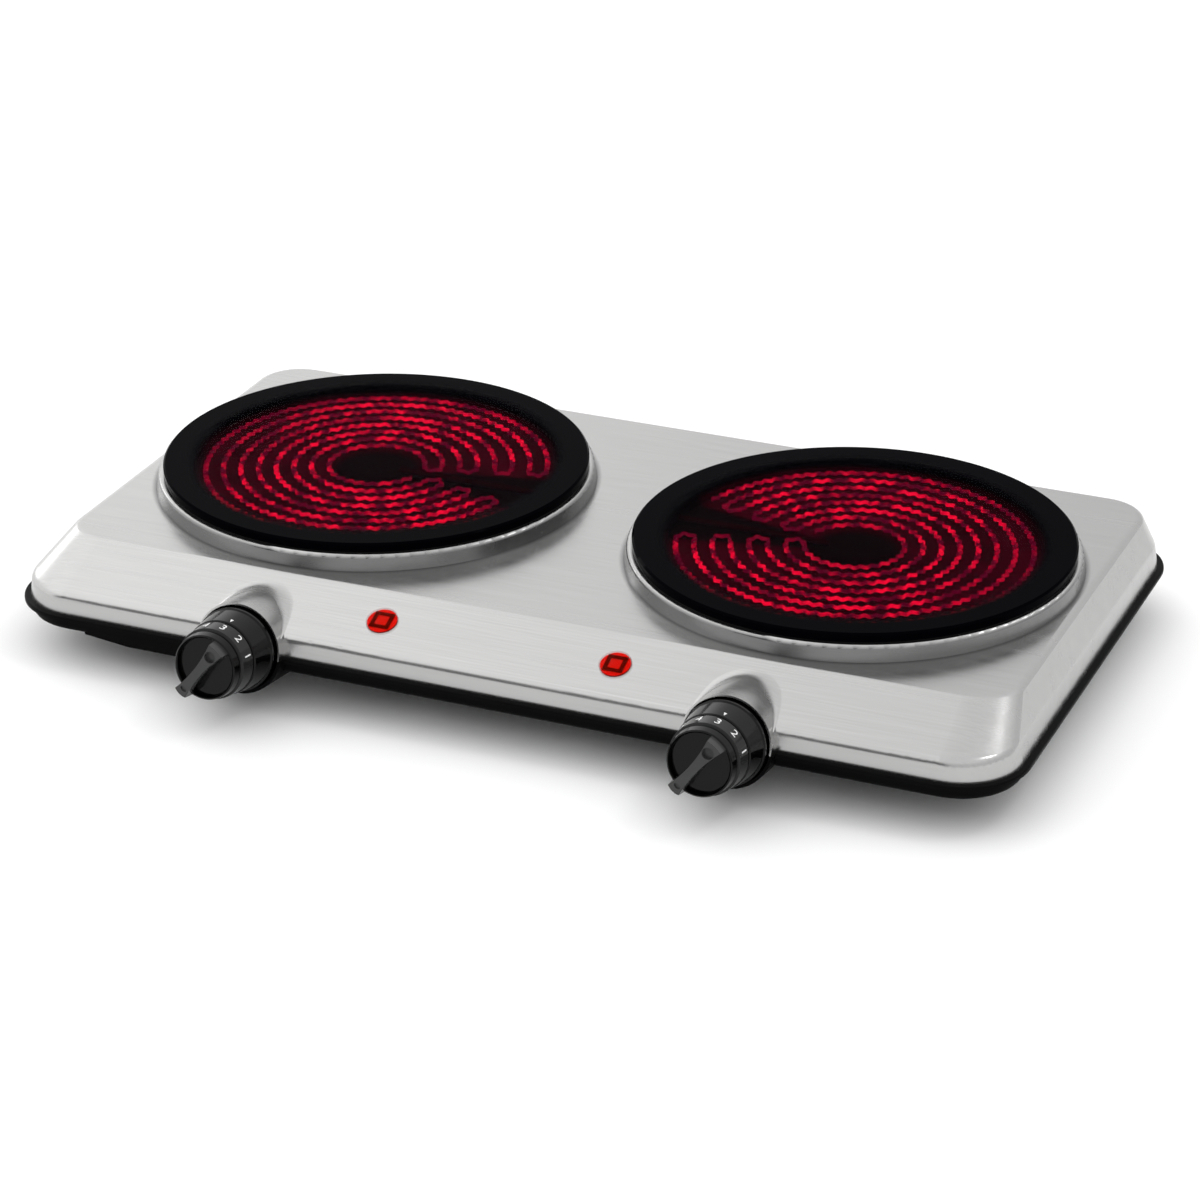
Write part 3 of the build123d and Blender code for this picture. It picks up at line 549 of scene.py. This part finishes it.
def joined(name, prints):
    """One mesh from several prints, each with the function that lays it in place."""
    whole = bmesh.new()
    for mesh, lay in prints:
        start = len(whole.verts)
        whole.from_mesh(mesh)
        whole.verts.ensure_lookup_table()
        for vertex in whole.verts[start:]:
            vertex.co = lay(vertex.co.copy())
    made = bpy.data.meshes.new(name)
    whole.to_mesh(made)
    whole.free()
    return made


def dial_print(side, hand):
    """White numbers on the knob's dial ring, and the small mark on the fixed bezel."""
    prints = []
    for digit in DIGITS:
        angle = MARK_ANGLE + (digit - REST_DIGIT) * DIGIT_STEP
        prints.append((glyph(str(digit), DIGIT_SIZE), wrapped(hand, DIAL_LEVELS, angle, DIGIT_PLACE)))
    piece(f"dial_numbers_{side}", joined(f"dial_numbers_{side}", prints), f"{side}_knob_body",
          DIAL_WHITE)
    mark = [(plate(MARK_OUTLINE), wrapped(hand, BEZEL_LEVELS, MARK_ANGLE, MARK_PLACE))]
    piece(f"bezel_mark_{side}", joined(f"bezel_mark_{side}", mark), "body",
          DIAL_WHITE)


for side, hand in SIDES:
    dial_print(side, hand)


# ---------------------------------------------------------------- front panel
# The sloping front runs from the crease above the lip up to the deck. Distances forward of the
# casing's middle, and heights above its lower edge.
CREASE_FRONT, CREASE_RISE = 127.5 * MM, 9.5 * MM
DECK_FRONT, DECK_RISE = 93.2 * MM, 22.8 * MM
SLOPE = atan2(DECK_RISE - CREASE_RISE, CREASE_FRONT - DECK_FRONT)
SLOPE_OUT = Vector((0, -sin(SLOPE), cos(SLOPE)))
CREASE = Vector((0, CASE_Y - CREASE_FRONT, RIM_Z + CREASE_RISE))

BOSS_R, BOSS_FRONT = 20.2 * MM, 2.8 * MM         # sleeve, and how far behind the bezel's rim it ends
BLEND_START = radians(19)                        # from +X, round the knob's axis
BLEND_SPANS, BLEND_STEPS = 56, 8                 # round the sleeve, and from the slope up to it
BLEND_REACH = 4.0 * MM                           # out over the slope, at most
BLEND_CLIMB, CLIMB_LIMIT = 1.6, 0.7              # reaches up the sleeve, and share of it at most
LEAST_REACH, REACH_GROWTH = 0.12, 1.5            # shares of the reach beside the front crease
BLEND_SKIN, BLEND_SINK = 0.02 * MM, 0.3 * MM     # proud of the sheet at its edges, and inside it
CORNER_PULL = 0.04                               # keeps the hollow off the inner edge
SMALL_TURN, NEAR_TOP = 0.01, 0.05                # radians for a tangent, and a cosine


def boss_blend(side, hand):
    """Soft stamped run-out where the sleeve behind a knob rises from the sloping front."""
    centre = axis_point(hand)

    def foot(angle):
        """Where the sleeve's line at this angle goes into the slope, and how deep that is."""
        line = centre + BOSS_R * around_axis(angle)
        depth = (CREASE - line).dot(SLOPE_OUT) / -KNOB_OUT.dot(SLOPE_OUT)
        return line - KNOB_OUT * depth, depth

    points, faces = [], []
    for number in range(BLEND_SPANS + 1):
        angle = BLEND_START + (pi - 2 * BLEND_START) * number / BLEND_SPANS
        spot, depth = foot(angle)
        along = (foot(angle + SMALL_TURN)[0] - foot(angle - SMALL_TURN)[0]).normalized()
        outwards = along.cross(SLOPE_OUT).normalized()
        if outwards.x * cos(angle) < 0 or (abs(cos(angle)) < NEAR_TOP and outwards.y < 0):
            outwards = -outwards
        # The run-out fades towards the front crease, and stays behind the sleeve's front.
        fade = LEAST_REACH + REACH_GROWTH * sin(angle - BLEND_START) * sin(angle + BLEND_START)
        reach = BLEND_REACH * min(1.0, fade)
        climb = min(BLEND_CLIMB * reach, CLIMB_LIMIT * (depth - BOSS_FRONT))
        low_end = spot + outwards * reach + SLOPE_OUT * BLEND_SKIN
        high_end = spot + KNOB_OUT * climb + around_axis(angle) * BLEND_SKIN
        corner = spot + (low_end + high_end - 2 * spot) * CORNER_PULL
        for step in range(BLEND_STEPS + 1):
            part = step / BLEND_STEPS
            points.append(low_end * (1 - part) ** 2 + corner * 2 * part * (1 - part) + high_end * part ** 2)
        points.append(spot - SLOPE_OUT * BLEND_SINK)
    ring = BLEND_STEPS + 2
    for number in range(BLEND_SPANS):
        for step in range(ring):
            a, b = number * ring + step, number * ring + (step + 1) % ring
            faces.append((a, b, b + ring, a + ring))
    faces += [tuple(range(ring)), tuple(BLEND_SPANS * ring + step for step in range(ring))]
    piece(f"boss_blend_{side}", mesh_from(f"boss_blend_{side}", points, faces), "body",
          LOOKS["stainless"])


for side, hand in SIDES:
    boss_blend(side, hand)


# ---------------------------------------------------------------- signal lamps
LAMP_X, LAMP_BACK = 54.8 * MM, 17.7 * MM         # from the middle, and behind the front crease
REFLECTOR_R, REFLECTOR_HEIGHT = 6.7 * MM, 0.35 * MM
LAMP_FRAME_OUTER, LAMP_FRAME_INNER, LAMP_FRAME_HEIGHT = 4.6 * MM, 2.7 * MM, 0.75 * MM


def rectangle(x_start, x_end, y_start, y_end):
    return [(x_start, y_start), (x_end, y_start), (x_end, y_end), (x_start, y_end)]


def lamp_inside(side, hand):
    """Red reflector with the black square frame that shows through the lens."""
    up_slope = Vector((0, cos(SLOPE), sin(SLOPE)))
    spot = CREASE + Vector((hand * LAMP_X, LAMP_BACK, LAMP_BACK * tan(SLOPE)))

    def at_height(height):
        def lay(flat):
            return spot + RIGHT * flat.x + up_slope * flat.y + SLOPE_OUT * (height + flat.z)
        return lay

    disc = plate(disc_outline(REFLECTOR_R, 40))
    reflector = joined(f"lamp_reflector_{side}", [(disc, at_height(REFLECTOR_HEIGHT))])
    piece(f"lamp_reflector_{side}", reflector, "body", LAMP_RED)
    inner, outer = LAMP_FRAME_INNER, LAMP_FRAME_OUTER
    outlines = [rectangle(sign * inner, sign * outer, -outer, outer) for sign in (1, -1)]
    outlines += [rectangle(-inner, inner, sign * inner, sign * outer) for sign in (1, -1)]
    bars = [(plate(outline), at_height(LAMP_FRAME_HEIGHT)) for outline in outlines]
    piece(f"lamp_frame_{side}", joined(f"lamp_frame_{side}", bars), "body", LAMP_BLACK)


for side, hand in SIDES:
    lamp_inside(side, hand)


# ---------------------------------------------------------------- floor, light, camera
FLOOR_HALF = 6.0


def pale_floor():
    corners = [(x, y, 0) for x, y in rectangle(-FLOOR_HALF, FLOOR_HALF, -FLOOR_HALF, FLOOR_HALF)]
    mesh = mesh_from("floor", corners, [(0, 1, 2, 3)], smooth=False)
    material, tree, shader = new_material("floor_pale")
    tree.links.new(two_tone(tree, noise(tree, 2), grey(0.93), grey(0.96)), shader.inputs["Base Color"])
    shader.inputs["Roughness"].default_value = 0.9
    shader.inputs["Specular IOR Level"].default_value = 0.1
    mesh.materials.append(material)
    floor = bpy.data.objects.new("floor", mesh)
    bpy.context.scene.collection.objects.link(floor)


def soft_light(name, place, aim, size, power):
    data = bpy.data.lights.new(name, "AREA")
    data.shape = "RECTANGLE"
    data.size, data.size_y = size
    data.energy = power
    lamp = bpy.data.objects.new(name, data)
    lamp.location = place
    lamp.rotation_euler = (Vector(aim) - Vector(place)).to_track_quat("-Z", "Y").to_euler()
    bpy.context.scene.collection.objects.link(lamp)


DARK_SIDE = Vector((-0.36, -0.92, 0.15))         # the unlit side of the studio, low in front
DARK_EDGE = (0.90, 0.97)                         # cosines of the angle from the dark side
LEFT_FADE, UP_FADE = (-0.50, -0.18), (0.35, 0.80)        # parts of a direction along X and Z


def studio():
    """White room with a dark band low in front, brighter to the left and from above."""
    world = bpy.data.worlds.new("studio")
    world.use_nodes = True
    tree = world.node_tree
    back = tree.nodes["Background"]
    place = tree.nodes.new("ShaderNodeTexCoord")
    toward = tree.nodes.new("ShaderNodeVectorMath")
    toward.operation = "DOT_PRODUCT"
    toward.inputs[1].default_value = DARK_SIDE.normalized()
    tree.links.new(place.outputs["Generated"], toward.inputs[0])
    dark = ramp(tree, toward.outputs["Value"], *DARK_EDGE)
    tree.links.new(two_tone(tree, dark, grey(1.0), grey(0.16)), back.inputs["Color"])
    parts = tree.nodes.new("ShaderNodeSeparateXYZ")
    tree.links.new(place.outputs["Generated"], parts.inputs["Vector"])
    sideways = ramp(tree, parts.outputs["X"], *LEFT_FADE, 1.62, 1.08)
    upwards = ramp(tree, parts.outputs["Z"], *UP_FADE, 0.84, 1.06)
    tree.links.new(times(tree, sideways, upwards), back.inputs["Strength"])
    bpy.context.scene.world = world
    aim = (0, CASE_Y, RIM_Z)
    soft_light("corner", (1.25, 0.45, 2.2), aim, size=(0.7, 0.5), power=5)
    soft_light("left", (-2.2, 1.2, 0.9), aim, size=(0.6, 0.6), power=3)
    bpy.context.scene.view_settings.view_transform = "Standard"


CAMERA_PLACE = Vector((0.62208, -1.45937, 0.75430))     # from the middle of the casing's lower edge
CAMERA_AIM = Vector((0.00282, -0.00405, -0.01000))
CAMERA_ROLL = radians(-0.28)
CAMERA_LENS, CAMERA_SENSOR = 116.10, 36.0               # millimetres
CAMERA_RANGE = 50.0


def photo_camera():
    data = bpy.data.cameras.new("camera")
    data.lens = CAMERA_LENS
    data.sensor_width = CAMERA_SENSOR
    data.clip_end = CAMERA_RANGE
    camera = bpy.data.objects.new("camera", data)
    origin = Vector((0, CASE_Y, RIM_Z))
    look = (CAMERA_AIM - CAMERA_PLACE).to_track_quat("-Z", "Y").to_matrix().to_4x4()
    roll = Matrix.Rotation(CAMERA_ROLL, 4, "Z")
    camera.matrix_world = Matrix.Translation(origin + CAMERA_PLACE) @ look @ roll
    bpy.context.scene.collection.objects.link(camera)
    bpy.context.scene.camera = camera


pale_floor()
studio()
photo_camera()
